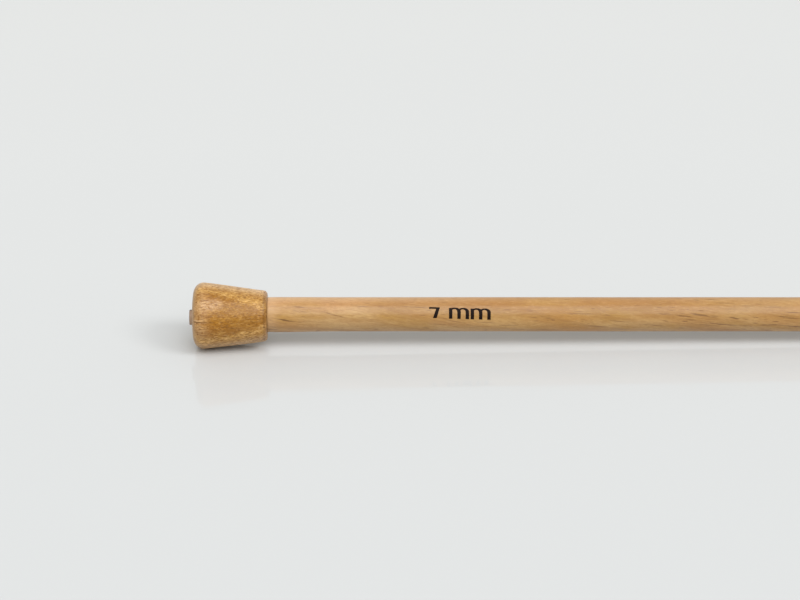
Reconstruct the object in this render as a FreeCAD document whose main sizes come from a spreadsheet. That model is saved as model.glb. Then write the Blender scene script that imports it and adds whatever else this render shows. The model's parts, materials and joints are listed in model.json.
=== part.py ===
import FreeCAD, Part
import math
import os

import Sketcher

# A single pointed knitting needle in turned wood, millimetres.
# Row frame: the origin is on the needle's axis where the shaft's shoulder meets the knob, +X runs along the shaft
# towards the point, +Z is up with the needle lying on a table.
#
# Three pieces, all turned about X:
#   needle_shaft  one rod: tenon, shoulder, plain gauge length, convex point with a rounded tip
#   end_knob      a stubby cone with a through bore, wide end outwards
#   glue_film     the sleeve of set glue between the tenon and the bore

V = FreeCAD.Vector
doc = FreeCAD.newDocument("knitting_needle")

# ---------------------------------------------------------------- driving dimensions
DIMS = [
    ("overall_length", "350", "knob's outer face to the tip"),
    ("shaft_dia", "7", "gauge diameter, which sets the stitch size"),
    ("point_length", "24", "from the end of the gauge length to the tip"),
    ("tip_radius", "1.1", "rounding of the tip"),
    ("knob_length", "14.8", "outer face to the shoulder"),
    ("knob_wide_dia", "13.86", "cone's diameter at the outer face, before its edge is rounded"),
    ("knob_narrow_dia", "10.1", "cone's diameter at the shoulder, before its edge is rounded"),
    ("knob_belly", "0.05", "how far the cone's side bows out at its middle"),
    ("knob_wide_round", "2", "edge radius at the outer face"),
    ("knob_narrow_round", "0.8", "edge radius at the shoulder"),
    ("tenon_dia", "3.1", "tenon turned on the shaft's end"),
    ("tenon_proud", "1", "how far the tenon stands out of the knob's outer face"),
    ("tenon_chamfer", "0.15", "bevel on the tenon's end"),
    ("glue_gap", "0.1", "radial gap between the tenon and the bore, filled with glue"),
]
sheet = doc.addObject("Spreadsheet::Sheet", "dims")
for row, (alias, value, note) in enumerate(DIMS, 1):
    sheet.set("A%d" % row, note)
    sheet.set("B%d" % row, value)
    sheet.setAlias("B%d" % row, alias)
doc.recompute()


def size(alias):
    return float(getattr(sheet, alias))


# ---------------------------------------------------------------- helpers
def new_body(label):
    body = doc.addObject("PartDesign::Body", label)
    body.Label = label
    body.Placement = FreeCAD.Placement(V(0, 0, 0), FreeCAD.Rotation())
    return body


def plane(body, role):
    return [f for f in body.Origin.OriginFeatures if f.Role == role][0]


def new_sketch(body, name, role):
    sk = body.newObject("Sketcher::SketchObject", name)
    sk.AttachmentSupport = [(plane(body, role), "")]
    sk.MapMode = "FlatFace"
    return sk


def fix(sk, constraint):
    return sk.addConstraint(constraint)


def drive(sk, name, expression, *args):
    """A named dimension that the spreadsheet drives."""
    i = sk.addConstraint(Sketcher.Constraint(*args))
    sk.renameConstraint(i, name)
    sk.setExpression("Constraints." + name, expression)


def line(sk, a, b):
    return sk.addGeometry(Part.LineSegment(V(a[0], a[1], 0), V(b[0], b[1], 0)), False)


def arc(sk, centre, radius, start, end):
    circle = Part.Circle(V(centre[0], centre[1], 0), V(0, 0, 1), radius)
    return sk.addGeometry(Part.ArcOfCircle(circle, start, end), False)


def revolve(body, sk, name):
    rev = body.newObject("PartDesign::Revolution", name)
    rev.Profile = sk
    rev.ReferenceAxis = (sk, ["H_Axis"])
    rev.Angle = 360.0
    sk.Visibility = False
    doc.recompute()
    return rev


def round_edges_at(feature, x, radius):
    """Names of the circular edges of this radius about X, in the plane at x."""
    found = []
    for i, e in enumerate(feature.Shape.Edges, 1):
        if e.Length < 1e-6 or e.Degenerated:
            continue
        c = e.Curve
        if isinstance(c, Part.Circle) and abs(c.Center.x - x) < 1e-4 and abs(c.Radius - radius) < 1e-3:
            if abs(c.Center.y) < 1e-4 and abs(c.Center.z) < 1e-4:
                found.append("Edge%d" % i)
    return found


# ---------------------------------------------------------------- needle_shaft
# Half profile above the axis, walked from the tenon's end to the tip. The point is an arc tangent to the gauge length,
# and the tip's arc is tangent to it, so the stitches meet no edge.
L = size("overall_length")
KL = size("knob_length")
rs = size("shaft_dia") / 2
rt = size("tenon_dia") / 2
tip = size("tip_radius")
pl = size("point_length")
x_end = -(KL + size("tenon_proud"))
x_tip = L - KL
x_point = x_tip - pl
run = pl - tip
R = (run**2 + rs**2 - tip**2) / (2 * (rs - tip))  # radius of the point's side
lean = math.atan2(run, R - rs)  # how far the side has turned where the tip's arc takes over

shaft = new_body("needle_shaft")
sk = new_sketch(shaft, "shaft_profile", "XY_Plane")
g_end = line(sk, (x_end, 0), (x_end, rt))
g_tenon = line(sk, (x_end, rt), (0, rt))
g_shoulder = line(sk, (0, rt), (0, rs))
g_gauge = line(sk, (0, rs), (x_point, rs))
g_side = arc(sk, (x_point, rs - R), R, math.pi / 2 - lean, math.pi / 2)
g_tip = arc(sk, (x_tip - tip, 0), tip, 0, math.pi / 2 - lean)
g_axis = line(sk, (x_tip, 0), (x_end, 0))
C = Sketcher.Constraint
for a, b in ((g_end, g_tenon), (g_tenon, g_shoulder), (g_shoulder, g_gauge)):
    fix(sk, C("Coincident", a, 2, b, 1))
fix(sk, C("Tangent", g_gauge, 2, g_side, 2))
fix(sk, C("Tangent", g_side, 1, g_tip, 2))
fix(sk, C("Coincident", g_tip, 1, g_axis, 1))
fix(sk, C("Coincident", g_axis, 2, g_end, 1))
fix(sk, C("Vertical", g_end))
fix(sk, C("Horizontal", g_tenon))
fix(sk, C("Vertical", g_shoulder))
fix(sk, C("Horizontal", g_gauge))
fix(sk, C("PointOnObject", g_axis, 1, -1))
fix(sk, C("PointOnObject", g_axis, 2, -1))
fix(sk, C("PointOnObject", g_tip, 3, -1))
fix(sk, C("PointOnObject", g_shoulder, 1, -2))
drive(sk, "tenon_radius", "dims.tenon_dia / 2", "DistanceY", -1, 1, g_tenon, 2, rt)
drive(sk, "shaft_radius", "dims.shaft_dia / 2", "DistanceY", -1, 1, g_shoulder, 2, rs)
drive(sk, "tenon_reach", "dims.knob_length + dims.tenon_proud", "DistanceX", g_end, 1, -1, 1, -x_end)
drive(sk, "gauge_length", "dims.overall_length - dims.knob_length - dims.point_length", "DistanceX", g_gauge, 1, g_gauge, 2, x_point)
drive(sk, "needle_reach", "dims.overall_length - dims.knob_length", "DistanceX", -1, 1, g_tip, 1, x_tip)
drive(sk, "tip_rounding", "dims.tip_radius", "Radius", g_tip, tip)
doc.recompute()
turned_shaft = revolve(shaft, sk, "turned_shaft")
tenon_edges = round_edges_at(turned_shaft, x_end, rt)
bevel = shaft.newObject("PartDesign::Chamfer", "tenon_bevel")
bevel.Base = (turned_shaft, tenon_edges)
bevel.Size = size("tenon_chamfer")
bevel.setExpression("Size", "dims.tenon_chamfer")
turned_shaft.Visibility = False
doc.recompute()
shaft.Tip = bevel

# ---------------------------------------------------------------- end_knob
# The cone is turned solid, its two edges are rounded, and the bore goes right through.
rw = size("knob_wide_dia") / 2
rn = size("knob_narrow_dia") / 2
belly = size("knob_belly")
chord = math.hypot(KL, rw - rn)
RB = chord**2 / (8 * belly) + belly / 2
mid = ((-KL) / 2, (rw + rn) / 2)
down = ((rn - rw) / chord, -KL / chord)  # square to the cone's side, inwards
cb = (mid[0] + down[0] * (RB - belly), mid[1] + down[1] * (RB - belly))
a_wide = math.atan2(rw - cb[1], -KL - cb[0])
a_narrow = math.atan2(rn - cb[1], 0 - cb[0])

knob = new_body("end_knob")
sk = new_sketch(knob, "knob_profile", "XY_Plane")
k_face = line(sk, (-KL, 0), (-KL, rw))
k_side = arc(sk, cb, RB, a_narrow, a_wide)
k_seat = line(sk, (0, rn), (0, 0))
k_axis = line(sk, (0, 0), (-KL, 0))
fix(sk, C("Coincident", k_face, 2, k_side, 2))
fix(sk, C("Coincident", k_side, 1, k_seat, 1))
fix(sk, C("Coincident", k_seat, 2, k_axis, 1))
fix(sk, C("Coincident", k_axis, 2, k_face, 1))
fix(sk, C("Vertical", k_face))
fix(sk, C("Vertical", k_seat))
fix(sk, C("Coincident", k_axis, 1, -1, 1))
fix(sk, C("Horizontal", k_axis))
drive(sk, "length", "dims.knob_length", "DistanceX", k_axis, 2, k_axis, 1, KL)
drive(sk, "wide_radius", "dims.knob_wide_dia / 2", "DistanceY", k_face, 1, k_face, 2, rw)
drive(sk, "narrow_radius", "dims.knob_narrow_dia / 2", "DistanceY", k_seat, 2, k_seat, 1, rn)
drive(
    sk,
    "side_radius",
    "(dims.knob_length ^ 2 + (dims.knob_wide_dia / 2 - dims.knob_narrow_dia / 2) ^ 2) / (8 * dims.knob_belly) + dims.knob_belly / 2",
    "Radius",
    k_side,
    RB,
)
doc.recompute()
turned_knob = revolve(knob, sk, "turned_knob")
wide_edges = round_edges_at(turned_knob, -KL, rw)
wide_round = knob.newObject("PartDesign::Fillet", "wide_edge_round")
wide_round.Base = (turned_knob, wide_edges)
wide_round.Radius = size("knob_wide_round")
wide_round.setExpression("Radius", "dims.knob_wide_round")
doc.recompute()
narrow_edges = round_edges_at(wide_round, 0.0, rn)
narrow_round = knob.newObject("PartDesign::Fillet", "narrow_edge_round")
narrow_round.Base = (wide_round, narrow_edges)
narrow_round.Radius = size("knob_narrow_round")
narrow_round.setExpression("Radius", "dims.knob_narrow_round")
doc.recompute()
solid_knob_volume = narrow_round.Shape.Volume

bore_sk = new_sketch(knob, "bore_circle", "YZ_Plane")
b_circle = bore_sk.addGeometry(Part.Circle(V(0, 0, 0), V(0, 0, 1), rt + size("glue_gap")), False)
fix(bore_sk, C("Coincident", b_circle, 3, -1, 1))
drive(bore_sk, "bore_radius", "dims.tenon_dia / 2 + dims.glue_gap", "Radius", b_circle, rt + size("glue_gap"))
bore = knob.newObject("PartDesign::Pocket", "tenon_bore")
bore.Profile = bore_sk
bore.Type = "ThroughAll"
bore.Midplane = True
bore_sk.Visibility = False
doc.recompute()
knob.Tip = bore

# ---------------------------------------------------------------- glue_film
# A thin sleeve of set glue, as long as the bore. It fills the gap, so the knob neither turns nor pulls off.
glue = new_body("glue_film")
ring_sk = new_sketch(glue, "film_ring", "YZ_Plane")
r_out = ring_sk.addGeometry(Part.Circle(V(0, 0, 0), V(0, 0, 1), rt + size("glue_gap")), False)
r_in = ring_sk.addGeometry(Part.Circle(V(0, 0, 0), V(0, 0, 1), rt), False)
fix(ring_sk, C("Coincident", r_out, 3, -1, 1))
fix(ring_sk, C("Coincident", r_in, 3, -1, 1))
drive(ring_sk, "film_outside", "dims.tenon_dia / 2 + dims.glue_gap", "Radius", r_out, rt + size("glue_gap"))
drive(ring_sk, "film_inside", "dims.tenon_dia / 2", "Radius", r_in, rt)
film = glue.newObject("PartDesign::Pad", "film_sleeve")
film.Profile = ring_sk
film.Length = KL
film.setExpression("Length", "dims.knob_length")
film.Reversed = True
ring_sk.Visibility = False
doc.recompute()
if film.Shape.BoundBox.XMax > 1e-6:
    film.Reversed = False
    doc.recompute()
glue.Tip = film
doc.recompute()

# ---------------------------------------------------------------- checks
for o in doc.Objects:
    bad = [s for s in o.State if s in ("Invalid", "Error")]
    if bad:
        raise SystemExit("%s is %s" % (o.Label, bad))
for o in doc.Objects:
    if o.TypeId == "Sketcher::SketchObject" and o.solve() != 0:
        raise SystemExit("sketch %s doesn't solve" % o.Label)
bodies = [shaft, knob, glue]
for b in bodies:
    if b.Shape.isNull() or not b.Shape.isValid() or len(b.Shape.Solids) != 1:
        raise SystemExit("%s has no single valid solid" % b.Label)
bored = math.pi * (rt + size("glue_gap")) ** 2 * KL
if abs((solid_knob_volume - knob.Shape.Volume) - bored) > 0.01:
    raise SystemExit("the bore took %.3f mm3, not %.3f" % (solid_knob_volume - knob.Shape.Volume, bored))
sleeve = math.pi * ((rt + size("glue_gap")) ** 2 - rt**2) * KL
if abs(glue.Shape.Volume - sleeve) > 0.01:
    raise SystemExit("the glue film is %.3f mm3, not %.3f" % (glue.Shape.Volume, sleeve))
for a, b in ((shaft, knob), (shaft, glue), (knob, glue)):
    shared = a.Shape.common(b.Shape).Volume
    if shared > 0.005:
        raise SystemExit("%s and %s share %.4f mm3" % (a.Label, b.Label, shared))

# ---------------------------------------------------------------- output
os.makedirs("parts", exist_ok=True)
for b in bodies:
    bb = b.Shape.optimalBoundingBox()
    print(
        "%-14s %9.2f mm3  X %.2f..%.2f  Y %.2f..%.2f  Z %.2f..%.2f"
        % (b.Label, b.Shape.Volume, bb.XMin, bb.XMax, bb.YMin, bb.YMax, bb.ZMin, bb.ZMax)
    )
    b.Shape.exportStep("parts/%s.step" % b.Label)
print("point side radius %.2f mm, half angle at the tip %.2f degrees" % (R, math.degrees(lean)))
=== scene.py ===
import json
import math

import bpy
import numpy as np
from mathutils import Matrix, Vector, noise


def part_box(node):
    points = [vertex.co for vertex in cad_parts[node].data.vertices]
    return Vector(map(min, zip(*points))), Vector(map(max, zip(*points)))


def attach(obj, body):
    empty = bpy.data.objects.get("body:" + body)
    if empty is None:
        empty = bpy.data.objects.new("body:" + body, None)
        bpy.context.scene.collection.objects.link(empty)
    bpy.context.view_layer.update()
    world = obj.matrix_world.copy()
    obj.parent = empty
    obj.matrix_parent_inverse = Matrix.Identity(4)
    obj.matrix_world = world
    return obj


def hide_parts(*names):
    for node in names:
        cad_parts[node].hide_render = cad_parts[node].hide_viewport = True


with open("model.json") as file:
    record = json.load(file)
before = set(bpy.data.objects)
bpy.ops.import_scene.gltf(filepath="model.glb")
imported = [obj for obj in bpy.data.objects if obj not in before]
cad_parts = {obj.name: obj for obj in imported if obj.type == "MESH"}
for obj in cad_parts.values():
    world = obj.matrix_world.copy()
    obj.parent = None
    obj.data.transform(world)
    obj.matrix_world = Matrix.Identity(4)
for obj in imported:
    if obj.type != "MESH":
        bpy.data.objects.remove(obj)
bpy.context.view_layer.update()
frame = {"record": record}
MM = 0.001


# ================================================================ sizes, from the imported frame where it gives them, the rest given here
k_lo, k_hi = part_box("end_knob")
s_lo, s_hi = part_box("needle_shaft")
gauge = [m for m in frame["record"]["mounts"] if m["name"] == "shaft_gauge"][0]["dims"]
R_SHAFT = gauge["r_mm"]
X_POINT = gauge["length_mm"]
X_FACE = k_lo.x * 1000
X_TIP = s_hi.x * 1000
X_END = s_lo.x * 1000
R_TENON = 1.55
R_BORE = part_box("glue_film")[1].z * 1000
BEVEL = 0.15
R_TIP = 1.1
R_WIDE, R_NARROW, BELLY, ROUND_WIDE, ROUND_NARROW = 6.93, 5.05, 0.05, 2.0, 0.8


# ================================================================ profiles, as (x, r) in mm
def arc_points(cx, cr, rad, a0, a1, n):
    return [(cx + rad * math.cos(a), cr + rad * math.sin(a)) for a in np.linspace(a0, a1, n)]


def shaft_profile():
    """From the tenon's end to the tip, without the two points on the axis."""
    p = []
    # the sawn and sanded end is very slightly domed
    for r in np.linspace(0.12, R_TENON - BEVEL, 9):
        p.append((X_END + 0.05 * (r / (R_TENON - BEVEL)) ** 2, r))
    # a worn bevel, rounded where it meets the end and the side
    p += [(X_END + 0.06, R_TENON - BEVEL + 0.02), (X_END + 0.09, R_TENON - 0.08), (X_END + 0.14, R_TENON - 0.03)]
    p += [(X_END + 0.22, R_TENON)]
    for x in np.linspace(X_END + 0.6, -0.02, 40):
        p.append((x, R_TENON))
    for r in np.linspace(R_TENON + 0.1, R_SHAFT - 0.12, 8):
        p.append((0.0, r))
    p += arc_points(0.12, R_SHAFT - 0.12, 0.12, math.pi * 0.95, math.pi * 0.5, 5)
    for x in np.arange(0.6, X_POINT - 0.3, 0.8):
        p.append((x, R_SHAFT))
    run = (X_TIP - X_POINT) - R_TIP
    big = (run**2 + R_SHAFT**2 - R_TIP**2) / (2 * (R_SHAFT - R_TIP))
    lean = math.atan2(run, big - R_SHAFT)
    p += arc_points(X_POINT, R_SHAFT - big, big, math.pi / 2, math.pi / 2 - lean, 56)
    p += arc_points(X_TIP - R_TIP, 0, R_TIP, math.pi / 2 - lean, 0.06, 14)[1:]
    return p


def knob_profile():
    """A closed loop: outer face, rounded wide edge, side, rounded narrow edge, seat, bore."""
    length = -X_FACE
    us = np.linspace(0, length, 1200)
    side = R_WIDE + (R_NARROW - R_WIDE) * us / length + 4 * BELLY * (us / length) * (1 - us / length)

    def rounding(cu, rad):
        lo, hi = 0.0, R_WIDE
        for _ in range(60):
            m = (lo + hi) / 2
            if np.min(np.hypot(us - cu, side - m)) > rad:
                lo = m
            else:
                hi = m
        k = int(np.argmin(np.hypot(us - cu, side - lo)))
        return lo, k, math.atan2(side[k] - lo, us[k] - cu)

    rc, k0, a0 = rounding(ROUND_WIDE, ROUND_WIDE)
    rn, k1, a1 = rounding(length - ROUND_NARROW, ROUND_NARROW)
    loop = [(0.0, r) for r in np.linspace(R_BORE + 0.16, rc, 14)]
    loop += arc_points(ROUND_WIDE, rc, ROUND_WIDE, math.pi, a0, 26)[1:]
    for i in np.linspace(k0, k1, 80).astype(int)[1:-1]:
        loop.append((us[i], side[i]))
    loop += arc_points(length - ROUND_NARROW, rn, ROUND_NARROW, a1, 0, 14)
    loop += [(length, r) for r in np.linspace(rn, R_BORE + 0.05, 12)[1:]]
    loop += [(length - 0.05, R_BORE)]
    loop += [(u, R_BORE) for u in np.linspace(length - 0.4, 0.35, 24)]
    # the bore's mouth is eased by a countersink's width
    loop += [(0.14, R_BORE), (0.05, R_BORE + 0.04), (0.01, R_BORE + 0.1)]
    return [(X_FACE + u, r) for u, r in loop]


# ================================================================ mesh building
def add_object(name, verts, faces, smooth=True):
    mesh = bpy.data.meshes.new(name)
    mesh.from_pydata([tuple(v) for v in verts], [], faces)
    mesh.validate()
    mesh.update()
    if smooth:
        mesh.polygons.foreach_set("use_smooth", [True] * len(mesh.polygons))
    obj = bpy.data.objects.new(name, mesh)
    bpy.context.scene.collection.objects.link(obj)
    return obj


def turned(name, profile, segs, closed_loop=False, first_pole=None, last_pole=None, wobble=None, centre=None):
    """A surface of revolution about X. wobble(x, r, angle) returns a change of radius in mm, and centre(x, r) where the
    ring's own centre lies, as (y, z) in mm, because hand fitting leaves the knob and the tenon a little off line."""
    verts, faces = [], []
    angles = [2 * math.pi * j / segs for j in range(segs)]
    for x, r in profile:
        cy, cz = centre(x, r) if centre else (0.0, 0.0)
        for a in angles:
            rr = r + (wobble(x, r, a) if wobble else 0.0)
            # the tenon's end was sawn a few degrees off square
            off_square = 0.10 * rr * (0.4305 * math.sin(a) - 0.9026 * math.cos(a))
            xx = x + off_square if x < X_FACE - 0.3 and r < R_TENON + 0.01 else x
            verts.append((xx * MM, (cy + rr * math.cos(a)) * MM, (cz + rr * math.sin(a)) * MM))
    n = len(profile)
    rings = n if closed_loop else n - 1
    for i in range(rings):
        i2 = (i + 1) % n
        for j in range(segs):
            j2 = (j + 1) % segs
            faces.append((i * segs + j, i * segs + j2, i2 * segs + j2, i2 * segs + j))
    if first_pole is not None:
        k = len(verts)
        cy, cz = centre(first_pole, 0.0) if centre else (0.0, 0.0)
        verts.append((first_pole * MM, cy * MM, cz * MM))
        faces += [(k, (j + 1) % segs, j) for j in range(segs)]
    if last_pole is not None:
        k = len(verts)
        base = (n - 1) * segs
        verts.append((last_pole * MM, 0, 0))
        faces += [(k, base + j, base + (j + 1) % segs) for j in range(segs)]
    obj = add_object(name, verts, faces)
    return obj


def make_outward(obj):
    import bmesh

    bm = bmesh.new()
    bm.from_mesh(obj.data)
    bmesh.ops.recalc_face_normals(bm, faces=bm.faces)
    if bm.calc_volume(signed=True) < 0:
        bmesh.ops.reverse_faces(bm, faces=bm.faces)
    bm.to_mesh(obj.data)
    bm.free()


def smooth(v, lo, hi):
    t = min(1.0, max(0.0, (v - lo) / (hi - lo)))
    return t * t * (3 - 2 * t)


def shaft_wobble(x, r, a):
    """Sanding leaves the rod a hair off round, within 0.02 mm, and 0.09 mm thinner along its middle than at the knob."""
    if r < 1.6 and x < 0:
        k = 0.012
    elif x < 0.2:
        return 0.0
    else:
        k = 0.016 * min(1.0, r / R_SHAFT)
    v = noise.noise(Vector((x / 16.0, 1.3 * math.cos(a), 1.3 * math.sin(a) + 7.0)))
    v += 0.5 * noise.noise(Vector((x / 5.0 + 31.0, 2.2 * math.cos(a), 2.2 * math.sin(a))))
    if x < 0:
        return k * v
    thick = 0.045 * smooth(x, 0.2, 1.2) * (1 - 2 * smooth(x, 2.0, 14.0) + smooth(x, 120.0, 220.0))
    return k * v + thick * min(1.0, r / R_SHAFT)


def knob_wobble(x, r, a):
    """Turned by eye and sanded on the lathe: slightly out of round, with faint facets."""
    if r < R_BORE + 0.3:
        return 0.0
    k = 0.03 * min(1.0, (r - R_BORE) / 3.0)
    v = noise.noise(Vector((x / 7.0 + 3.0, 1.1 * math.cos(a), 1.1 * math.sin(a))))
    v += 0.35 * noise.noise(Vector((x / 2.2 + 11.0, 3.0 * math.cos(a), 3.0 * math.sin(a) + 5.0)))
    return k * v


KNOB_OFF = (-0.235, -0.172)
TENON_OFF = (-0.45, -0.45)


def tenon_centre(x, r=0.0):
    """The hole was bored a degree or two out of true, so the tenon leaves the outer face a little low."""
    t = min(1.0, max(0.0, (-0.6 - x) / (-0.6 - X_FACE)))
    return (TENON_OFF[0] * t, TENON_OFF[1] * t)


def shaft_centre(x, r):
    """The rod is a hair bent, so next to the knob it lies 0.06 mm low."""
    if x < -0.3:
        return tenon_centre(x)
    t = smooth(x, -0.3, 0.0) * (1 - smooth(x, 2.0, 12.0))
    return (-0.026 * t, -0.054 * t)


def knob_centre(x, r):
    t = smooth(r - R_BORE, 0.1, 2.3)
    cy, cz = tenon_centre(x)
    low = KNOB_OFF[1] - 0.09 * smooth(x, -12.0, -3.0)  # it droops a hair towards the shaft
    return (cy + (KNOB_OFF[0] - cy) * t, cz + (low - cz) * t)


shaft = turned(
    "shaft", shaft_profile(), 112, first_pole=X_END, last_pole=X_TIP, wobble=shaft_wobble, centre=shaft_centre
)
make_outward(shaft)
knob = turned("knob", knob_profile(), 200, closed_loop=True, wobble=knob_wobble, centre=knob_centre)
make_outward(knob)


def glue_profile():
    """The sleeve, with the little bead that was squeezed out round the tenon at the outer face."""
    loop = [(-0.02, R_BORE - 0.005), (-0.02, R_TENON + 0.004)]
    loop += [(x, R_TENON + 0.004) for x in np.linspace(-0.6, X_FACE - 0.05, 20)]
    loop += [(X_FACE - 0.16, R_TENON + 0.01), (X_FACE - 0.17, R_TENON + 0.05)]
    loop += [(X_FACE - 0.11, R_TENON + 0.13), (X_FACE - 0.05, R_TENON + 0.22), (X_FACE - 0.004, R_TENON + 0.29)]
    loop += [(X_FACE + 0.03, R_TENON + 0.2), (X_FACE + 0.1, R_BORE - 0.004)]
    loop += [(x, R_BORE - 0.005) for x in np.linspace(X_FACE + 0.5, -0.5, 20)]
    return loop


def glue_wobble(x, r, a):
    if x > X_FACE - 0.003 or r < R_TENON + 0.02:
        return 0.0
    return 0.05 * noise.noise(Vector((2.5 * math.cos(a), 2.5 * math.sin(a), 3.3)))


glue = turned("glue", glue_profile(), 96, closed_loop=True, wobble=glue_wobble, centre=tenon_centre)
make_outward(glue)


# ================================================================ printed size mark
# A plain "7 mm" in strokes of this script's own, drawn flat as (s, t) in mm, s along the shaft and t up, then wrapped
# round the shaft. It is a closed film 0.012 mm thick.
def seg(px, py, ax, ay, bx, by):
    """Distance to the segment from a to b."""
    dx, dy = bx - ax, by - ay
    t = np.clip(((px - ax) * dx + (py - ay) * dy) / (dx * dx + dy * dy), 0, 1)
    return np.hypot(px - ax - t * dx, py - ay - t * dy)


def box_sd(px, py, x0, x1, y0, y1):
    cx, cy, hx, hy = (x0 + x1) / 2, (y0 + y1) / 2, (x1 - x0) / 2, (y1 - y0) / 2
    qx, qy = np.abs(px - cx) - hx, np.abs(py - cy) - hy
    return np.hypot(np.maximum(qx, 0), np.maximum(qy, 0)) + np.minimum(np.maximum(qx, qy), 0)


def seven(px, py):
    bar = box_sd(px, py, 0.02, 2.10, 2.07, 2.40) - 0.03
    tick = box_sd(px, py, 0.02, 0.22, 1.98, 2.30) - 0.03
    leg_t = np.clip(py / 2.3, 0, 1)
    centre = 1.12 + 0.66 * leg_t
    leg = np.maximum(np.abs(px - centre) * 0.958 - (0.37 - 0.04 * leg_t), np.maximum(-py, py - 2.40)) + 0.01
    return np.minimum(np.minimum(bar, tick), leg)


def letter_m(px, py):
    stems = np.minimum(
        box_sd(px, py, -0.01, 0.62, 0.0, 2.32),
        np.minimum(box_sd(px, py, 1.66, 2.30, 0.0, 1.8), box_sd(px, py, 3.33, 3.97, 0.0, 1.8)),
    ) - 0.03
    d = stems
    for x0 in (0.3, 1.97):
        # an arch from one stem over to the next: thin where it leaves, thick where it comes down
        cx, cy, rx, ry = x0 + 0.83, 1.62, 0.84, 0.66
        ang = np.arctan2((py - cy) / ry, (px - cx) / rx)
        rad = np.hypot((px - cx) / rx, (py - cy) / ry)
        thick = 0.19 + 0.12 * np.clip(np.cos(ang), 0, 1)
        ring = np.abs(rad - 1) * 0.72 - thick
        ring = np.maximum(ring, cy - 0.02 - py)
        d = np.minimum(d, ring)
    return d


def size_mark(s0, angle0, slope, length_scale=0.992, height_scale=0.93):
    step = 0.04
    ns, nt = int(12.9 / step), int(2.9 / step)
    s = (np.arange(ns + 1) * step - 0.3)[:, None] * np.ones((1, nt + 1))
    t = (np.arange(nt + 1) * step - 0.3)[None, :] * np.ones((ns + 1, 1))
    d = seven(s, t)
    d = np.minimum(d, letter_m(s - 4.0, t))
    d = np.minimum(d, letter_m(s - 8.36, t))
    # the ink's edge creeps a little along the grain
    rough = np.zeros_like(d)
    for i in range(ns + 1):
        for j in range(nt + 1):
            if abs(d[i, j]) < 0.12:
                rough[i, j] = 0.022 * noise.noise(Vector((s[i, j] * 2.2, t[i, j] * 9.0, 1.7))) + 0.012 * noise.noise(
                    Vector((s[i, j] * 8.0, t[i, j] * 14.0, 4.1))
                )
    d = d + rough

    def place(sv, tv, r):
        a = angle0 + tv * height_scale / R_SHAFT
        x = s0 + sv * length_scale
        a += slope * sv / R_SHAFT
        # angle is measured up from -Y towards +Z
        rr = r + shaft_wobble(x, R_SHAFT, math.pi - a)
        cy, cz = shaft_centre(x, rr)
        return (x * MM, (cy - rr * math.cos(a)) * MM, (cz + rr * math.sin(a)) * MM)

    top, low, faces, cache = [], [], [], {}

    def vert(key, sv, tv):
        if key not in cache:
            cache[key] = len(top)
            top.append(place(sv, tv, R_SHAFT + 0.008))
            low.append(place(sv, tv, R_SHAFT - 0.004))
        return cache[key]

    def corner(i, j):
        return vert(("c", i, j), s[i, j], t[i, j])

    def crossing(i, j, i2, j2):
        if (i, j) > (i2, j2):
            i, j, i2, j2 = i2, j2, i, j
        f = d[i, j] / (d[i, j] - d[i2, j2])
        f = min(max(f, 0.02), 0.98)
        return vert(("e", i, j, i2, j2), s[i, j] + f * (s[i2, j2] - s[i, j]), t[i, j] + f * (t[i2, j2] - t[i, j]))

    edges = {}
    for i in range(ns):
        for j in range(nt):
            ring = [(i, j), (i + 1, j), (i + 1, j + 1), (i, j + 1)]
            inside = [d[c] < 0 for c in ring]
            if not any(inside):
                continue
            if all(inside):
                polys = [[corner(*c) for c in ring]]
            elif sum(inside) == 2 and inside[0] == inside[2]:
                # two opposite corners: keep them apart, as two triangles
                polys = []
                for k in range(4):
                    if inside[k]:
                        a, b = ring[(k + 1) % 4], ring[(k - 1) % 4]
                        polys.append([corner(*ring[k]), crossing(*ring[k], *a), crossing(*ring[k], *b)])
            else:
                poly = []
                for k in range(4):
                    a, b = ring[k], ring[(k + 1) % 4]
                    if inside[k]:
                        poly.append(corner(*a))
                    if inside[k] != inside[(k + 1) % 4]:
                        poly.append(crossing(*a, *b))
                polys = [poly]
            for poly in polys:
                faces.append(poly)
                for k in range(len(poly)):
                    e = (poly[k], poly[(k + 1) % len(poly)])
                    edges[e] = edges.get(e, 0) + 1
    n = len(top)
    all_faces = [tuple(f) for f in faces] + [tuple(n + v for v in reversed(f)) for f in faces]
    for a, b in edges:
        if (b, a) not in edges:
            all_faces.append((b, a, n + a, n + b))
    obj = add_object("size_mark", top + low, all_faces)
    make_outward(obj)
    return obj


mark = size_mark(32.37, math.radians(13.8), -0.030)


# ================================================================ material helpers
# Some of these colours stand in for light: a painted sheen on the top of the shaft, a painted shade tint on its front,
# painted shade on its tenon and painted light next to the knob; on the knob, painted sheen mixed with paler wood
# towards its top and bottom edges and towards its outer face, and a painted highlight on its shoulder.
BEECH_LIGHT, BEECH_WARM, BEECH_GOLD = (195, 157, 110), (186, 140, 90), (182, 139, 78)
BEECH_PALE, BEECH_TAN, BEECH_BROWN, BEECH_END = (208, 168, 120), (146, 103, 57), (92, 58, 28), (176, 158, 144)
BEECH_SHADE_TINT, BEECH_TOP_SHEEN, BEECH_DRIFT, BEECH_HONEY = (243, 246, 230), (216, 184, 148), (226, 219, 191), (254, 247, 226)
KNOB_CREAM_AND_SHEEN, KNOB_PALE_AND_SHEEN, KNOB_GOLD = (207, 170, 116), (230, 196, 156), (198, 154, 84)
KNOB_BRIGHT, KNOB_TAN, KNOB_ORANGE, KNOB_DEEP = (222, 178, 110), (162, 115, 44), (156, 104, 24), (120, 74, 12)
KNOB_BROWN, KNOB_PALE_AND_GLOSS, KNOB_END, KNOB_RIM = (80, 46, 12), (210, 172, 124), (182, 150, 112), (220, 217, 222)
KNOB_HIGHLIGHT_AND_LIP = (222, 188, 150)
BEECH_PAINTED_LIGHT_RING = (232, 198, 156)
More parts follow.
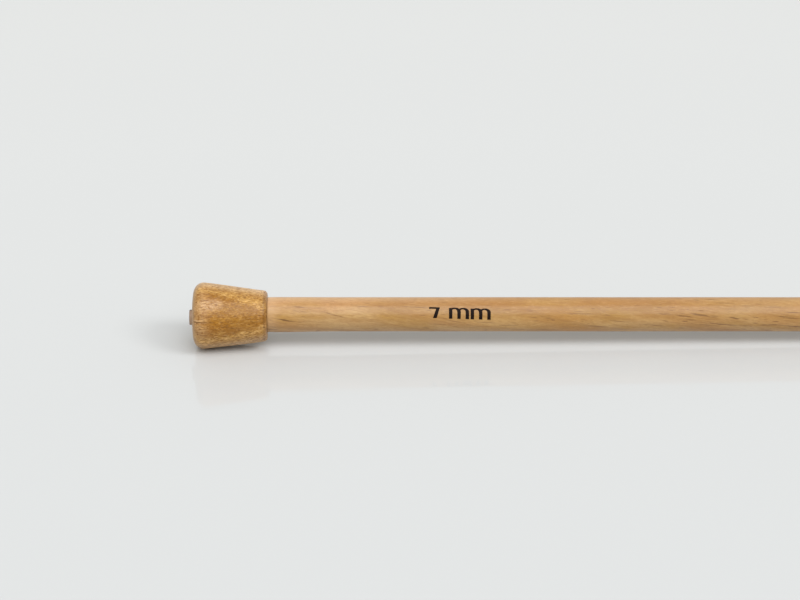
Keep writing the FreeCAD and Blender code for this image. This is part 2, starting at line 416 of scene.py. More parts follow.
SHAFT_NIBS = [
    (8.2, 3.5, 39.5, 0.34, 0.26), (86.6, 3.5, 39.0, 1.0, 0.20), (59.0, 3.5, 47.0, 0.22, 0.20),
    (143.0, 3.5, 30.0, 0.30, 0.22), (207.0, 3.5, 52.0, 0.26, 0.24), (168.0, 3.5, 118.0, 0.3, 0.25),
    (262.0, 3.5, 160.0, 0.3, 0.22), (117.0, 3.5, 205.0, 0.3, 0.26),
]
SLIVERS = [
    (3.7, 6.5, 2.3, 0.13, 0.17, 0.75), (13.2, 25.0, 2.4, 0.10, 0.26, 0.45), (10.8, -12.0, 1.5, 0.08, 0.05, 0.35),
    (29.5, 50.0, 2.6, 0.14, 0.05, 0.35), (34.0, -9.0, 1.6, 0.12, 0.08, 0.45), (43.6, -2.0, 1.9, 0.13, 0.05, 0.40),
    (48.0, -14.0, 1.8, 0.12, -0.03, 0.50), (57.0, 7.0, 0.5, 0.12, 0.0, 0.45), (62.4, 28.0, 2.6, 0.16, 0.03, 0.35),
    (70.0, 2.0, 2.2, 0.14, 0.06, 0.40), (77.0, -13.0, 1.9, 0.12, 0.05, 0.45), (79.3, 27.0, 1.5, 0.16, 0.05, 0.40),
    (84.4, 8.0, 1.4, 0.13, 0.14, 0.45), (86.3, 24.5, 1.8, 0.22, 0.16, 0.60), (88.5, 17.0, 1.2, 0.12, 0.10, 0.40),
    (90.8, -9.0, 3.0, 0.13, 0.10, 0.70), (93.4, 13.0, 1.1, 0.14, 0.14, 0.70), (95.4, -15.0, 1.4, 0.12, 0.08, 0.50),
    (97.6, 15.0, 0.7, 0.10, 0.05, 0.65), (101.4, -11.0, 1.7, 0.12, 0.04, 0.55), (106.2, -20.0, 2.8, 0.14, 0.10, 0.65),
    (101.6, 50.0, 2.2, 0.30, 0.03, 0.22), (91.5, 66.0, 2.0, 0.22, 0.05, 0.25), (66.0, -18.0, 2.0, 0.11, 0.05, 0.45),
    (83.2, 20.5, 1.6, 0.14, 0.12, 0.55), (87.6, -11.5, 1.7, 0.12, 0.06, 0.60), (89.2, 20.0, 0.8, 0.11, 0.06, 0.50),
    (99.6, -13.0, 1.3, 0.12, 0.05, 0.55), (103.2, 17.0, 1.5, 0.12, 0.04, 0.50), (104.6, -16.5, 1.9, 0.13, 0.06, 0.60),
]
KNOB_NIBS = [
    (-11.6, 6.60, 43.0, 0.26, 0.22), (-11.1, 6.56, 46.5, 0.20, 0.20), (-11.3, 6.58, 38.5, 0.20, 0.18),
    (-5.0, 5.85, 95.0, 0.24, 0.20), (-8.2, 6.22, 200.0, 0.24, 0.22),
]


def new_material(name):
    mat = bpy.data.materials.new(name)
    mat.use_nodes = True
    nt = mat.node_tree
    nt.nodes.clear()
    out = nt.nodes.new("ShaderNodeOutputMaterial")
    bsdf = nt.nodes.new("ShaderNodeBsdfPrincipled")
    nt.links.new(bsdf.outputs["BSDF"], out.inputs["Surface"])
    return mat, nt, bsdf


class Nodes:
    """Short names for the few node kinds that the woods are made of."""

    def __init__(self, nt):
        self.nt = nt

    def put(self, socket, value):
        if isinstance(value, bpy.types.NodeSocket):
            self.nt.links.new(value, socket)
        else:
            socket.default_value = value

    def math(self, op, a, b=None, c=None, clamp=False):
        n = self.nt.nodes.new("ShaderNodeMath")
        n.operation = op
        n.use_clamp = clamp
        for i, v in enumerate((a, b, c)):
            if v is not None:
                self.put(n.inputs[i], v)
        return n.outputs[0]

    def vec(self, op, a, b=None, scale=None):
        n = self.nt.nodes.new("ShaderNodeVectorMath")
        n.operation = op
        self.put(n.inputs[0], a)
        if b is not None:
            self.put(n.inputs[1], b)
        if scale is not None:
            self.put(n.inputs["Scale"], scale)
        return n.outputs["Value"] if op in ("LENGTH", "DISTANCE", "DOT_PRODUCT") else n.outputs["Vector"]

    def mapping(self, v, loc=(0, 0, 0), rot=(0, 0, 0), scale=(1, 1, 1)):
        n = self.nt.nodes.new("ShaderNodeMapping")
        self.put(n.inputs["Vector"], v)
        n.inputs["Location"].default_value = loc
        n.inputs["Rotation"].default_value = rot
        n.inputs["Scale"].default_value = scale
        return n.outputs["Vector"]

    def noise(self, v, scale=1.0, detail=2.0, rough=0.5, distortion=0.0, colour=False):
        n = self.nt.nodes.new("ShaderNodeTexNoise")
        n.noise_dimensions = "3D"
        self.put(n.inputs["Vector"], v)
        n.inputs["Scale"].default_value = scale
        n.inputs["Detail"].default_value = detail
        n.inputs["Roughness"].default_value = rough
        n.inputs["Distortion"].default_value = distortion
        return n.outputs["Color" if colour else "Fac"]

    def ramp(self, v, lo, hi, to_lo=0.0, to_hi=1.0, smooth=True):
        n = self.nt.nodes.new("ShaderNodeMapRange")
        n.interpolation_type = "SMOOTHSTEP" if smooth else "LINEAR"
        n.clamp = True
        self.put(n.inputs["Value"], v)
        n.inputs["From Min"].default_value = lo
        n.inputs["From Max"].default_value = hi
        n.inputs["To Min"].default_value = to_lo
        n.inputs["To Max"].default_value = to_hi
        return n.outputs["Result"]

    def mix(self, fac, a, b, kind="MIX"):
        n = self.nt.nodes.new("ShaderNodeMix")
        n.data_type = "RGBA"
        n.blend_type = kind
        self.put(n.inputs[0], fac)
        self.put(n.inputs[6], a)
        self.put(n.inputs[7], b)
        return n.outputs[2]

    def split(self, v):
        n = self.nt.nodes.new("ShaderNodeSeparateXYZ")
        self.put(n.inputs[0], v)
        return n.outputs[0], n.outputs[1], n.outputs[2]

    def join(self, x, y, z):
        n = self.nt.nodes.new("ShaderNodeCombineXYZ")
        for i, v in enumerate((x, y, z)):
            self.put(n.inputs[i], v)
        return n.outputs[0]

    def voronoi(self, v, randomness=1.0):
        n = self.nt.nodes.new("ShaderNodeTexVoronoi")
        n.voronoi_dimensions = "3D"
        n.feature = "F1"
        self.put(n.inputs["Vector"], v)
        n.inputs["Scale"].default_value = 1.0
        n.inputs["Randomness"].default_value = randomness
        return n

    def flecks(self, v, cell, half, seed=(0, 0, 0), share=0.7, soft=0.35):
        """Small spindles scattered in space. cell is the block of wood that each one has, and half its half length,
        half width and half depth, in mm along the local axes. Returns 0..1, and a random number per spindle."""
        p = self.mapping(v, loc=seed, scale=tuple(1 / c for c in cell))
        vo = self.voronoi(p)
        off = self.vec("SUBTRACT", p, vo.outputs["Position"])
        rr, rg, rb = self.split(vo.outputs["Color"])
        off = self.vec("MULTIPLY", off, tuple(c / h for c, h in zip(cell, half)))
        dist = self.vec("LENGTH", off)
        shape = self.ramp(dist, 1.0, soft)
        keep = self.ramp(rr, 1 - share, 1 - share + 0.2)
        return self.math("MULTIPLY", shape, keep), rg, rb

    def lines(self, v, width, detail=1.0, rough=0.5):
        """Thin meandering lines: the level line of a stretched noise."""
        f = self.noise(v, detail=detail, rough=rough)
        return self.ramp(self.math("ABSOLUTE", self.math("SUBTRACT", f, 0.5)), width, 0.0)


def nibs(n, mm, spots):
    """Specks of dust caught in the lacquer: (x, radius, degrees up from the front, half length, half width) each."""
    total = None
    for x, r, up, hl, hw in spots:
        a = math.radians(up)
        at = (x, -r * math.cos(a), r * math.sin(a))
        off = n.vec("MULTIPLY", n.vec("SUBTRACT", mm, at), (1 / hl, 1 / hw, 1 / hw))
        one = n.ramp(n.vec("LENGTH", off), 1.0, 0.0)
        total = one if total is None else n.math("MAXIMUM", total, one)
    return total


def slivers(n, v, r, spots):
    """Single dark ray cuts. Each spot is (x, degrees up from the front, half length, half width, slope, strength)."""
    total = None
    for x, up, hl, hw, slope, strength in spots:
        a = math.radians(up)
        off = n.vec("SUBTRACT", v, (x, -r * math.cos(a), r * math.sin(a)))
        u = n.vec("DOT_PRODUCT", off, (0.78 / hl, 0.0, 0.0))
        t = n.vec("DOT_PRODUCT", off, (slope / hw, math.sin(a) / hw, math.cos(a) / hw))
        d = n.vec("DOT_PRODUCT", off, (0.0, -math.cos(a) / 0.7, math.sin(a) / 0.7))
        one = n.ramp(n.vec("LENGTH", n.join(u, t, d)), 1.15, 0.45, 0.0, strength)
        total = one if total is None else n.math("MAXIMUM", total, one)
    return total


def grain_axes(fibre, radial):
    """The turn that lays local X along the fibres and local Z across the growth rings, as a Mapping node's angles."""
    e1 = Vector(fibre).normalized()
    e3 = Vector(radial)
    e3 = (e3 - e1 * e3.dot(e1)).normalized()
    e2 = e3.cross(e1)
    return tuple(Matrix((e1, e2, e3)).to_euler("XYZ"))


def end_grain(n, tc, lo=0.55, hi=0.95):
    """1 where the surface cuts straight across the fibres."""
    nx, ny, nz = n.split(tc.outputs["Normal"])
    return n.ramp(n.math("ABSOLUTE", nx), lo, hi)


def rgb(r, g, b):
    """A linear colour."""
    return (r, g, b, 1.0)


def srgb(r, g, b):
    def lin(c):
        c /= 255.0
        return c / 12.92 if c <= 0.04045 else ((c + 0.055) / 1.055) ** 2.4

    return (lin(r), lin(g), lin(b), 1.0)


# ================================================================ shaft wood: pale beech
def beech():
    mat, nt, bsdf = new_material("beech_lacquered")
    n = Nodes(nt)
    tc = nt.nodes.new("ShaderNodeTexCoord")
    mm = n.mapping(tc.outputs["Object"], scale=(1000, 1000, 1000))
    # the grain runs out of the rod by several degrees, so on the front the figure slopes down towards the point
    g = n.mapping(mm, rot=grain_axes((1, 0.03, -0.125), (0, -0.55, 0.83)))
    warp = n.noise(n.mapping(g, loc=(7.0, 0, 0), scale=(0.045, 0.10, 0.10)), detail=2.0, colour=True)
    warp = n.vec("MULTIPLY", n.vec("SUBTRACT", warp, (0.5, 0.5, 0.5)), (0.0, 3.0, 3.0))
    w = n.vec("ADD", g, warp)
    x, y, z = n.split(w)
    # growth rings about a pith far to one side
    ring_r = n.vec("LENGTH", n.join(0.0, y, n.math("ADD", z, 34.0)))
    ring = n.math(
        "ADD", n.math("MULTIPLY", ring_r, 1 / 2.3), n.math("MULTIPLY", n.noise(n.mapping(w, scale=(0.03, 0.4, 0.4))), 0.6)
    )
    frac = n.math("FRACT", ring)
    late = n.math("MULTIPLY", n.ramp(frac, 0.15, 0.9), n.ramp(frac, 1.0, 0.94))
    patch = n.noise(n.mapping(g, loc=(3.1, 0, 0), scale=(0.045, 0.22, 0.22)), detail=2.0)
    patch2 = n.noise(n.mapping(g, loc=(13.1, 5, 2), scale=(0.10, 0.34, 0.34)), detail=2.0)
    streak = n.noise(n.mapping(w, scale=(0.10, 1.5, 1.5)), detail=4.0, rough=0.65)
    fibre = n.noise(n.mapping(w, scale=(0.95, 7.5, 7.5)), detail=3.0, rough=0.65)
    # rays: thin plates that show as dark dashes on one side of the rod and as flakes on the other
    f1, f1a, f1b = n.flecks(w, (8.5, 1.1, 1.5), (2.7, 0.15, 0.36), (0.3, 0.7, 0.1), share=0.75, soft=0.2)
    f2, f2a, _ = n.flecks(w, (3.0, 0.50, 0.8), (0.95, 0.085, 0.24), (4.3, 2.7, 5.1), share=0.7)
    f3, f3a, _ = n.flecks(w, (1.3, 0.24, 0.34), (0.42, 0.05, 0.09), (8.9, 1.2, 3.4), share=0.7)

    mid = n.noise(n.mapping(w, loc=(1.3, 4.4, 9.1), scale=(0.62, 3.1, 3.1)), detail=2.0, rough=0.6)
    crowd = n.noise(n.mapping(g, loc=(6.1, 3.0, 0.2), scale=(0.05, 0.3, 0.3)), detail=1.0)
    light = srgb(*BEECH_LIGHT)
    warm = srgb(*BEECH_WARM)
    gold = srgb(*BEECH_GOLD)
    tan = srgb(*BEECH_TAN)
    brown = srgb(*BEECH_BROWN)
    c = n.mix(n.ramp(patch, 0.38, 0.62), light, warm)
    c = n.mix(n.ramp(patch2, 0.48, 0.72, 0.0, 0.8), c, gold)
    # along the rod the board's colour drifts, more on its upper side than below
    ox, oy, oz = n.split(mm)
    lengthways = n.noise(n.mapping(mm, loc=(2.35, 0.5, 0.5), scale=(0.0105, 0.0, 0.0)), detail=1.0)
    top_on = n.vec("DOT_PRODUCT", mm, (0.0, 0.4305 / 3.5, 0.9026 / 3.5))
    upper = n.ramp(top_on, -0.45, 0.35, 0.25, 1.0)
    drift = n.math("MULTIPLY", n.ramp(ox, 9.0, 30.0), n.ramp(ox, 66.0, 84.0, 1.0, 0.86))
    drift = n.math("MULTIPLY", n.math("MULTIPLY", drift, upper), n.ramp(lengthways, 0.35, 0.65, 0.80, 1.0))
    c = n.mix(drift, c, srgb(*BEECH_DRIFT), kind="MULTIPLY")
    honey = n.math("MULTIPLY", n.ramp(ox, 34.0, 48.0), n.ramp(ox, 74.0, 60.0))
    c = n.mix(n.math("MULTIPLY", honey, n.ramp(patch, 0.3, 0.6, 0.6, 1.0)), c, srgb(*BEECH_HONEY), kind="MULTIPLY")
    c = n.mix(n.ramp(streak, 0.45, 0.75, 0.0, 0.50), c, tan)
    c = n.mix(n.math("MULTIPLY", late, 0.26), c, tan)
    c = n.mix(n.ramp(mid, 0.50, 0.80, 0.0, 0.50), c, tan)
    # the top of the rod is painted paler: a painted sheen standing in for the lacquer's reflection along its upper edge
    c = n.mix(n.math("MULTIPLY", n.ramp(top_on, 0.50, 0.95, 0.0, 0.36), n.ramp(ox, 60.0, 15.0, 0.25, 1.0)), c,
              srgb(*BEECH_TOP_SHEEN))
    c = n.mix(n.ramp(mid, 0.50, 0.22, 0.0, 0.30), c, srgb(*BEECH_PALE))
    # and the front, below its ridge, is painted with a greener cast: a painted shade tint
    side_on = n.vec("DOT_PRODUCT", mm, (0.0, -0.993 / 3.5, 0.12 / 3.5))
    c = n.mix(n.math("MULTIPLY", n.ramp(side_on, 0.45, 0.98), n.ramp(patch, 0.2, 0.7, 0.6, 1.0)), c, srgb(*BEECH_SHADE_TINT),
              kind="MULTIPLY")
    c = n.mix(n.ramp(fibre, 0.42, 0.72, 0.0, 0.46), c, tan)
    # the rays grow more frequent away from the knob
    busy = n.ramp(ox, 35.0, 70.0, 1.0, 1.45)
    c = n.mix(n.math("MULTIPLY", n.math("MULTIPLY", f3, busy), n.ramp(f3a, 0.0, 1.0, 0.08, 0.34)), c, brown)
    c = n.mix(n.math("MULTIPLY", n.math("MULTIPLY", f2, busy), n.ramp(f2a, 0.0, 1.0, 0.12, 0.55)), c, brown)
    f1 = n.math("MULTIPLY", f1, n.ramp(crowd, 0.38, 0.56, 0.45, 1.0))
    c = n.mix(n.math("MULTIPLY", f1, n.ramp(f1a, 0.0, 1.0, 0.35, 0.90)), c, brown)
    frayed = n.noise(n.mapping(w, loc=(2.0, 6.0, 5.0), scale=(0.6, 5.0, 5.0)), detail=2.0, colour=True)
    frayed = n.vec("ADD", mm, n.vec("MULTIPLY", n.vec("SUBTRACT", frayed, (0.5, 0.5, 0.5)), (0.8, 0.45, 0.45)))
    cuts = slivers(n, frayed, R_SHAFT, SLIVERS)
    c = n.mix(cuts, c, brown)
    # next to the knob a paler ring is painted: painted light that lifts the shade where the shaft meets the knob
    c = n.mix(n.ramp(ox, 3.0, 0.2, 0.0, 0.20), c, srgb(*BEECH_PAINTED_LIGHT_RING))
    # the tenon never saw lacquer; its side is painted darker as painted shade, its end darker still at the edge, and a
    # dark patch of painted shade sits on the upper edge of its end
    c = n.mix(n.ramp(ox, 0.05, -0.05, 0.0, 0.85), c, srgb(168, 140, 116))
    c = n.mix(n.ramp(ox, X_END + 0.34, X_END + 0.12, 0.0, 0.55), c, srgb(104, 84, 70))
    end_edge_shade = n.vec("LENGTH", n.vec("MULTIPLY", n.vec("SUBTRACT", mm, (X_END + 0.35, -0.25, 1.05)), (2.2, 1.6, 2.6)))
    c = n.mix(n.ramp(end_edge_shade, 1.0, 0.3, 0.0, 0.75), c, srgb(84, 64, 50))
    c = n.mix(n.math("MULTIPLY", end_grain(n, tc), 0.62), c, srgb(*BEECH_END), kind="MULTIPLY")
    nt.links.new(c, bsdf.inputs["Base Color"])

    rough = n.ramp(n.noise(n.mapping(mm, scale=(0.3, 0.9, 0.9)), detail=3.0), 0.3, 0.7, 0.44, 0.56)
    nt.links.new(rough, bsdf.inputs["Roughness"])
    bsdf.inputs["Coat Weight"].default_value = 0.34
    bsdf.inputs["Coat Roughness"].default_value = 0.22
    bsdf.inputs["IOR"].default_value = 1.45
    bsdf.inputs["Specular IOR Level"].default_value = 0.38

    h = n.math("MULTIPLY", fibre, 0.45)
    h = n.math("SUBTRACT", h, n.math("MULTIPLY", f1, 0.6))
    h = n.math("SUBTRACT", h, n.math("MULTIPLY", f2, 0.45))
    h = n.math("SUBTRACT", h, n.math("MULTIPLY", f3, 0.3))
    h = n.math("SUBTRACT", h, n.math("MULTIPLY", cuts, 0.6))
    h = n.math("ADD", h, n.math("MULTIPLY", mid, -0.5))
    h = n.math("ADD", h, n.math("MULTIPLY", n.noise(n.mapping(mm, scale=(0.5, 1.6, 1.6)), detail=2.0), 1.2))
    specks = nibs(n, mm, SHAFT_NIBS)
    h = n.math("ADD", h, n.math("MULTIPLY", specks, 2.6))
    bump = nt.nodes.new("ShaderNodeBump")
    bump.inputs["Strength"].default_value = 0.45
    bump.inputs["Distance"].default_value = 0.00004
    nt.links.new(h, bump.inputs["Height"])
    nt.links.new(bump.outputs["Normal"], bsdf.inputs["Normal"])
    nt.links.new(bump.outputs["Normal"], bsdf.inputs["Coat Normal"])
    return mat


# ================================================================ knob wood: orange brown, rippled, busy grain
def knob_wood():
    mat, nt, bsdf = new_material("knob_wood_lacquered")
    n = Nodes(nt)
    tc = nt.nodes.new("ShaderNodeTexCoord")
    mm = n.mapping(tc.outputs["Object"], scale=(1000, 1000, 1000))
    # the rings stand nearly square to the front of the knob, so the taper cuts them into long arches
    g = n.mapping(mm, rot=grain_axes((1, 0.02, 0.01), (0, -0.9026, 0.4305)))
    warp = n.noise(n.mapping(g, loc=(5, 2, 1), scale=(0.14, 0.20, 0.20)), detail=2.0, colour=True)
    warp = n.vec("MULTIPLY", n.vec("SUBTRACT", warp, (0.5, 0.5, 0.5)), (0.0, 1.1, 1.3))
    ripple = n.noise(n.mapping(g, loc=(1, 7, 3), scale=(0.60, 0.50, 0.50)), detail=2.0, rough=0.6, colour=True)
    ripple = n.vec("MULTIPLY", n.vec("SUBTRACT", ripple, (0.5, 0.5, 0.5)), (0.0, 0.50, 0.50))
    w = n.vec("ADD", n.vec("ADD", g, warp), ripple)
    x, y, z = n.split(w)
    depth = n.math("SUBTRACT", n.vec("LENGTH", n.join(0.0, y, n.math("ADD", z, 22.0))), 22.0)
    frac = n.math("FRACT", n.math("ADD", n.math("MULTIPLY", depth, 1 / 2.75), 0.80))
    # frac is 0.5 at a depth of 4.6 mm in front of the axis
    band = n.math("MULTIPLY", n.ramp(frac, 0.22, 0.50), n.ramp(frac, 0.76, 0.50))
    after = n.math("MULTIPLY", n.ramp(frac, 0.60, 0.70), n.ramp(frac, 1.0, 0.74))
    patch = n.noise(n.mapping(g, loc=(2.2, 0.4, 7.7), scale=(0.14, 0.26, 0.26)), detail=2.0)
    blotch = n.noise(n.mapping(w, loc=(4.0, 9.4, 1.7), scale=(0.34, 0.55, 0.55)), detail=2.0)
    streak = n.noise(n.mapping(w, scale=(0.32, 1.35, 1.35)), detail=4.0, rough=0.65)
    fibre = n.noise(n.mapping(w, scale=(1.35, 7.4, 7.4)), detail=2.0, rough=0.6)
    mid = n.noise(n.mapping(w, loc=(1.3, 4.4, 9.1), scale=(1.10, 3.6, 3.6)), detail=2.0, rough=0.6)
    bright = n.noise(n.mapping(w, loc=(8.3, 1.4, 2.1), scale=(0.95, 2.6, 2.6)), detail=2.0, rough=0.6)
    wavy = n.lines(n.mapping(w, loc=(0, 3, 8), scale=(0.42, 1.7, 1.7)), 0.05, detail=1.0)
    wavy = n.math("MULTIPLY", wavy, n.ramp(n.noise(n.mapping(w, scale=(0.9, 1.4, 1.4)), detail=1.0), 0.42, 0.60))
    f1, f1a, _ = n.flecks(w, (2.3, 0.55, 0.9), (0.92, 0.11, 0.28), (0.3, 0.7, 0.1), share=0.85)
    f2, f2a, _ = n.flecks(w, (1.3, 0.30, 0.45), (0.52, 0.072, 0.14), (4.3, 2.7, 5.1), share=0.85)

    gold = srgb(*KNOB_GOLD)
    tan = srgb(*KNOB_TAN)
    orange = srgb(*KNOB_ORANGE)
    deep = srgb(*KNOB_DEEP)
    brown = srgb(*KNOB_BROWN)
    cream_and_sheen = srgb(*KNOB_CREAM_AND_SHEEN)
    c = n.mix(n.ramp(patch, 0.36, 0.62), tan, orange)
    # paler towards the top and bottom edges as the knob is seen from the front: partly paler wood, partly a painted
    # sheen where the surface turns away
    c = n.mix(n.ramp(depth, 4.9, 3.0, 0.0, 0.85), c, cream_and_sheen)
    c = n.mix(n.ramp(depth, 3.9, 1.5, 0.0, 0.90), c, srgb(*KNOB_PALE_AND_SHEEN))
    ox, oy, oz = n.split(mm)
    # towards the outer face the knob is painted paler: partly paler wood at its end, partly a painted highlight of the
    # lacquer's gloss
    pale_and_gloss = n.math("MULTIPLY", n.ramp(ox, -10.2, -13.6), n.ramp(blotch, 0.3, 0.7, 0.40, 0.75))
    c = n.mix(pale_and_gloss, c, srgb(*KNOB_PALE_AND_GLOSS))
    c = n.mix(n.math("MULTIPLY", band, n.ramp(blotch, 0.30, 0.60, 0.20, 0.75)), c, gold)
    # on the shoulder, round the dust specks, a pale patch is painted: a painted highlight standing in for the window's
    # soft reflection
    w_mm = n.vec("ADD", mm, n.vec("MULTIPLY", ripple, (0.0, 0.35, 0.35)))
    painted_highlight = n.vec("LENGTH", n.vec("MULTIPLY", n.vec("SUBTRACT", mm, (-10.6, -4.7, 4.4)), (1 / 3.0, 1 / 2.2, 1 / 1.7)))
    painted_highlight = n.math("MULTIPLY", n.ramp(painted_highlight, 1.0, 0.2), n.ramp(mid, 0.36, 0.60, 0.40, 0.12))
    c = n.mix(n.math("MULTIPLY", n.ramp(bright, 0.46, 0.66), n.math("ADD", n.math("MULTIPLY", band, 0.60), 0.24)), c,
              srgb(*KNOB_BRIGHT))
    c = n.mix(n.math("MULTIPLY", after, n.ramp(blotch, 0.35, 0.65, 0.06, 0.38)), c, deep)
    c = n.mix(n.ramp(streak, 0.44, 0.70, 0.0, 0.28), c, deep)
    c = n.mix(n.ramp(mid, 0.50, 0.74, 0.0, 0.90), c, deep)
    c = n.mix(n.ramp(fibre, 0.46, 0.68, 0.0, 0.78), c, deep)
    c = n.mix(n.math("MULTIPLY", wavy, 0.32), c, brown)
    c = n.mix(n.math("MULTIPLY", f2, n.ramp(f2a, 0.0, 1.0, 0.08, 0.40)), c, brown)
    c = n.mix(n.math("MULTIPLY", f1, n.ramp(f1a, 0.0, 1.0, 0.14, 0.52)), c, brown)
    # the painted highlight on the shoulder
    c = n.mix(painted_highlight, c, srgb(*KNOB_HIGHLIGHT_AND_LIP))
    cut = end_grain(n, tc)
    c = n.mix(n.math("MULTIPLY", cut, n.ramp(ox, -8.0, -10.0, 0.0, 0.55)), c, srgb(*KNOB_END))
    # the rounded edge at the shaft is darker and greyer than the rest
    c = n.mix(n.ramp(ox, -1.0, -0.55), c, srgb(*KNOB_RIM), kind="MULTIPLY")
    # a short check runs in from the outer face, dark with a pale lip
    c = n.mix(slivers(n, w_mm, 6.5, [(-13.6, 14.9, 1.8, 0.10, 0.0, 0.50)]), c, srgb(*KNOB_HIGHLIGHT_AND_LIP))
    check = slivers(n, w_mm, 6.5, [(-13.0, 11.9, 1.5, 0.14, 0.0, 0.72)])
    c = n.mix(check, c, brown)
    nt.links.new(c, bsdf.inputs["Base Color"])

    rough = n.ramp(n.noise(n.mapping(mm, scale=(0.7, 1.4, 1.4)), detail=3.0), 0.3, 0.7, 0.42, 0.55)
    nt.links.new(rough, bsdf.inputs["Roughness"])
    bsdf.inputs["Coat Weight"].default_value = 0.34
    bsdf.inputs["Coat Roughness"].default_value = 0.18
    bsdf.inputs["IOR"].default_value = 1.46
    bsdf.inputs["Specular IOR Level"].default_value = 0.20

    h = n.math("MULTIPLY", fibre, 0.6)
    h = n.math("SUBTRACT", h, n.math("MULTIPLY", f1, 0.8))
    h = n.math("SUBTRACT", h, n.math("MULTIPLY", f2, 0.5))
    h = n.math("SUBTRACT", h, n.math("MULTIPLY", wavy, 0.5))
    h = n.math("ADD", h, n.math("MULTIPLY", mid, -0.7))
    h = n.math("ADD", h, n.math("MULTIPLY", n.noise(n.mapping(mm, scale=(0.9, 1.5, 1.5)), detail=2.0), 1.6))
    h = n.math("ADD", h, n.math("MULTIPLY", nibs(n, mm, KNOB_NIBS), 2.4))
    h = n.math("SUBTRACT", h, n.math("MULTIPLY", check, 2.0))
    bump = nt.nodes.new("ShaderNodeBump")
    bump.inputs["Strength"].default_value = 0.55
    bump.inputs["Distance"].default_value = 0.00006
    nt.links.new(h, bump.inputs["Height"])
    nt.links.new(bump.outputs["Normal"], bsdf.inputs["Normal"])
    nt.links.new(bump.outputs["Normal"], bsdf.inputs["Coat Normal"])
    return mat


def ink():
    mat, nt, bsdf = new_material("printing_ink")
    n = Nodes(nt)
    tc = nt.nodes.new("ShaderNodeTexCoord")
    mm = n.mapping(tc.outputs["Object"], scale=(1000, 1000, 1000))
    thin = n.noise(n.mapping(mm, scale=(1.1, 7.0, 7.0)), detail=3.0, rough=0.6)
    c = n.mix(n.ramp(thin, 0.5, 0.8, 0.0, 0.5), rgb(0.008, 0.0035, 0.002), rgb(0.045, 0.026, 0.016))
    nt.links.new(c, bsdf.inputs["Base Color"])
    rough = n.ramp(thin, 0.3, 0.8, 0.5, 0.7)
    nt.links.new(rough, bsdf.inputs["Roughness"])
    bsdf.inputs["Specular IOR Level"].default_value = 0.10
    return mat


def set_glue():
    mat, nt, bsdf = new_material("set_wood_glue")
    n = Nodes(nt)
    tc = nt.nodes.new("ShaderNodeTexCoord")
    mm = n.mapping(tc.outputs["Object"], scale=(1000, 1000, 1000))
    v = n.noise(n.mapping(mm, scale=(3, 3, 3)), detail=3.0)
    c = n.mix(v, srgb(112, 78, 50), srgb(70, 45, 28))
    nt.links.new(c, bsdf.inputs["Base Color"])
    nt.links.new(n.ramp(v, 0.3, 0.7, 0.2, 0.35), bsdf.inputs["Roughness"])
    return mat


shaft.data.materials.append(beech())
knob.data.materials.append(knob_wood())
mark.data.materials.append(ink())
glue.data.materials.append(set_glue())

for piece, node, slot in ((shaft, "needle_shaft", "shaft_wood"), (knob, "end_knob", "knob_wood"), (glue, "glue_film", "wood_glue")):
    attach(piece, "root")
    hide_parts(node)
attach(mark, "root")


# ================================================================ floor, light, camera
# The needle lies on the widest ring of its knob and on the shaft where the point begins, so the floor leans to it.
pts = np.array(knob_profile())
xk, rk = pts[int(np.argmax(pts[:, 1]))]
bpy.ops.mesh.primitive_circle_add(vertices=96, radius=6.0, fill_type="NGON")
floor = bpy.context.object
floor.name = "floor"
slope = (rk - R_SHAFT) / (X_POINT - xk)
floor.location = (xk * MM, 0, -(rk - KNOB_OFF[1] + 0.02) * MM)
floor.rotation_euler = (0, -math.atan(slope), 0)
fmat, fnt, fb = new_material("glossy_white_board")
fn = Nodes(fnt)
ftc = fnt.nodes.new("ShaderNodeTexCoord")
fv = fn.noise(fn.mapping(ftc.outputs["Object"], scale=(9, 9, 9)), detail=2.0)
fnt.links.new(fn.ramp(fv, 0.3, 0.7, 0.05, 0.08), fb.inputs["Roughness"])
fb.inputs["Base Color"].default_value = (0.558, 0.573, 0.577, 1)
fb.inputs["IOR"].default_value = 1.5
floor.data.materials.append(fmat)

world = bpy.data.worlds.new("soft_room")
bpy.context.scene.world = world
world.use_nodes = True
wn = world.node_tree
wn.nodes.clear()
wo = wn.nodes.new("ShaderNodeOutputWorld")
bg = wn.nodes.new("ShaderNodeBackground")
wN = Nodes(wn)
wtc = wn.nodes.new("ShaderNodeTexCoord")
wx, wy, wz = wN.split(wtc.outputs["Generated"])
# pale walls all round, and a dimmer ceiling
wall = wN.ramp(wz, 0.30, 0.75, 0.80, 0.60)
# whoever takes the picture stands in the way of some of it
aim = wN.vec("DOT_PRODUCT", wtc.outputs["Generated"], Vector((0.0, -1.0, 0.12)).normalized())
wall = wN.math("MULTIPLY", wall, wN.ramp(aim, 0.50, 0.93, 1.0, 0.32))
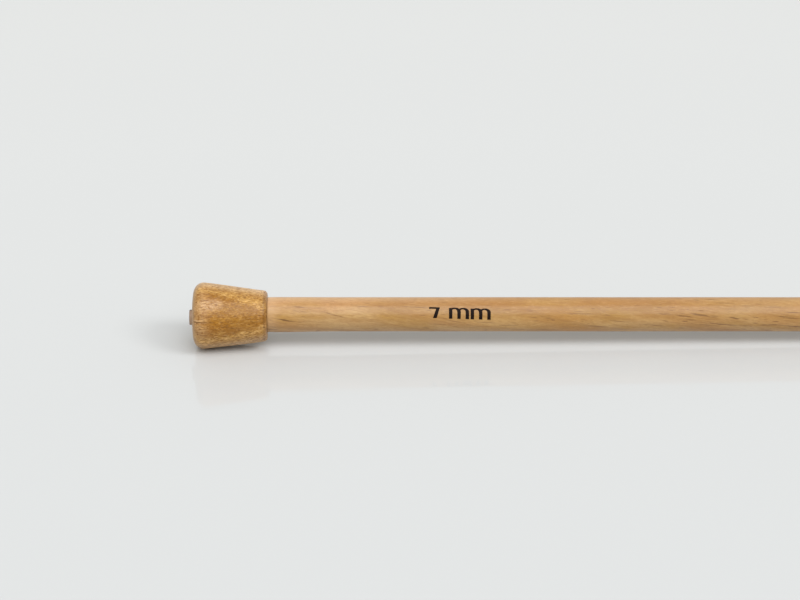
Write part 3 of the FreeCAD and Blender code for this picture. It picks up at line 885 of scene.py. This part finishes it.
# low down, the lit table in front shines back
wall = wN.math("ADD", wall, wN.math("MULTIPLY", wN.ramp(wz, 0.20, 0.05), wN.ramp(aim, 0.35, 0.80, 0.0, 0.35)))
wn.links.new(wN.mix(wN.ramp(aim, 0.45, 0.90), (1.0, 0.988, 0.945, 1), (1.0, 0.88, 0.72, 1)), bg.inputs["Color"])
wn.links.new(wall, bg.inputs["Strength"])
wn.links.new(bg.outputs[0], wo.inputs[0])


def sun(name, towards, irradiance, spread, colour=(1, 1, 1)):
    """A far, soft light: towards points at it, spread is its full angle in degrees."""
    data = bpy.data.lights.new(name, "SUN")
    data.energy = irradiance
    data.angle = math.radians(spread)
    data.color = colour
    obj = bpy.data.objects.new(name, data)
    bpy.context.scene.collection.objects.link(obj)
    obj.rotation_mode = "QUATERNION"
    obj.rotation_quaternion = Vector(towards).to_track_quat("Z", "Y")
    return obj


sun("window", (0.10, -0.574, 0.819), 2.33, 56, (0.985, 1.0, 1.035))
sun("side_lamp", (1.03, -0.60, 1.0), 1.06, 20).visible_glossy = False

cam_data = bpy.data.cameras.new("camera")
cam = bpy.data.objects.new("camera", cam_data)
bpy.context.scene.collection.objects.link(cam)
bpy.context.scene.camera = cam
FOV = math.radians(30.0)
ELEV = math.radians(25.5)
DIST = 301.0
cam_data.sensor_width = 36.0
cam_data.lens = 18.0 / math.tan(FOV / 2)
cam_data.clip_start, cam_data.clip_end = 0.01, 20.0
look = Vector((0, math.cos(ELEV), -math.sin(ELEV)))
up = Vector((0, math.sin(ELEV), math.cos(ELEV)))
# the picture is a crop: its middle lies to the right of the lens's own axis
CROP = 14.2
cam_data.shift_x = CROP / (2 * DIST * math.tan(FOV / 2))
cam.location = (Vector((26.7 - CROP, 0, 0)) - look * DIST + up * 2.88) * MM
cam.rotation_mode = "QUATERNION"
cam.rotation_quaternion = Matrix((Vector((1, 0, 0)), up, -look)).transposed().to_quaternion()

bpy.context.scene.view_settings.view_transform = "Standard"
bpy.context.scene.view_settings.look = "None"
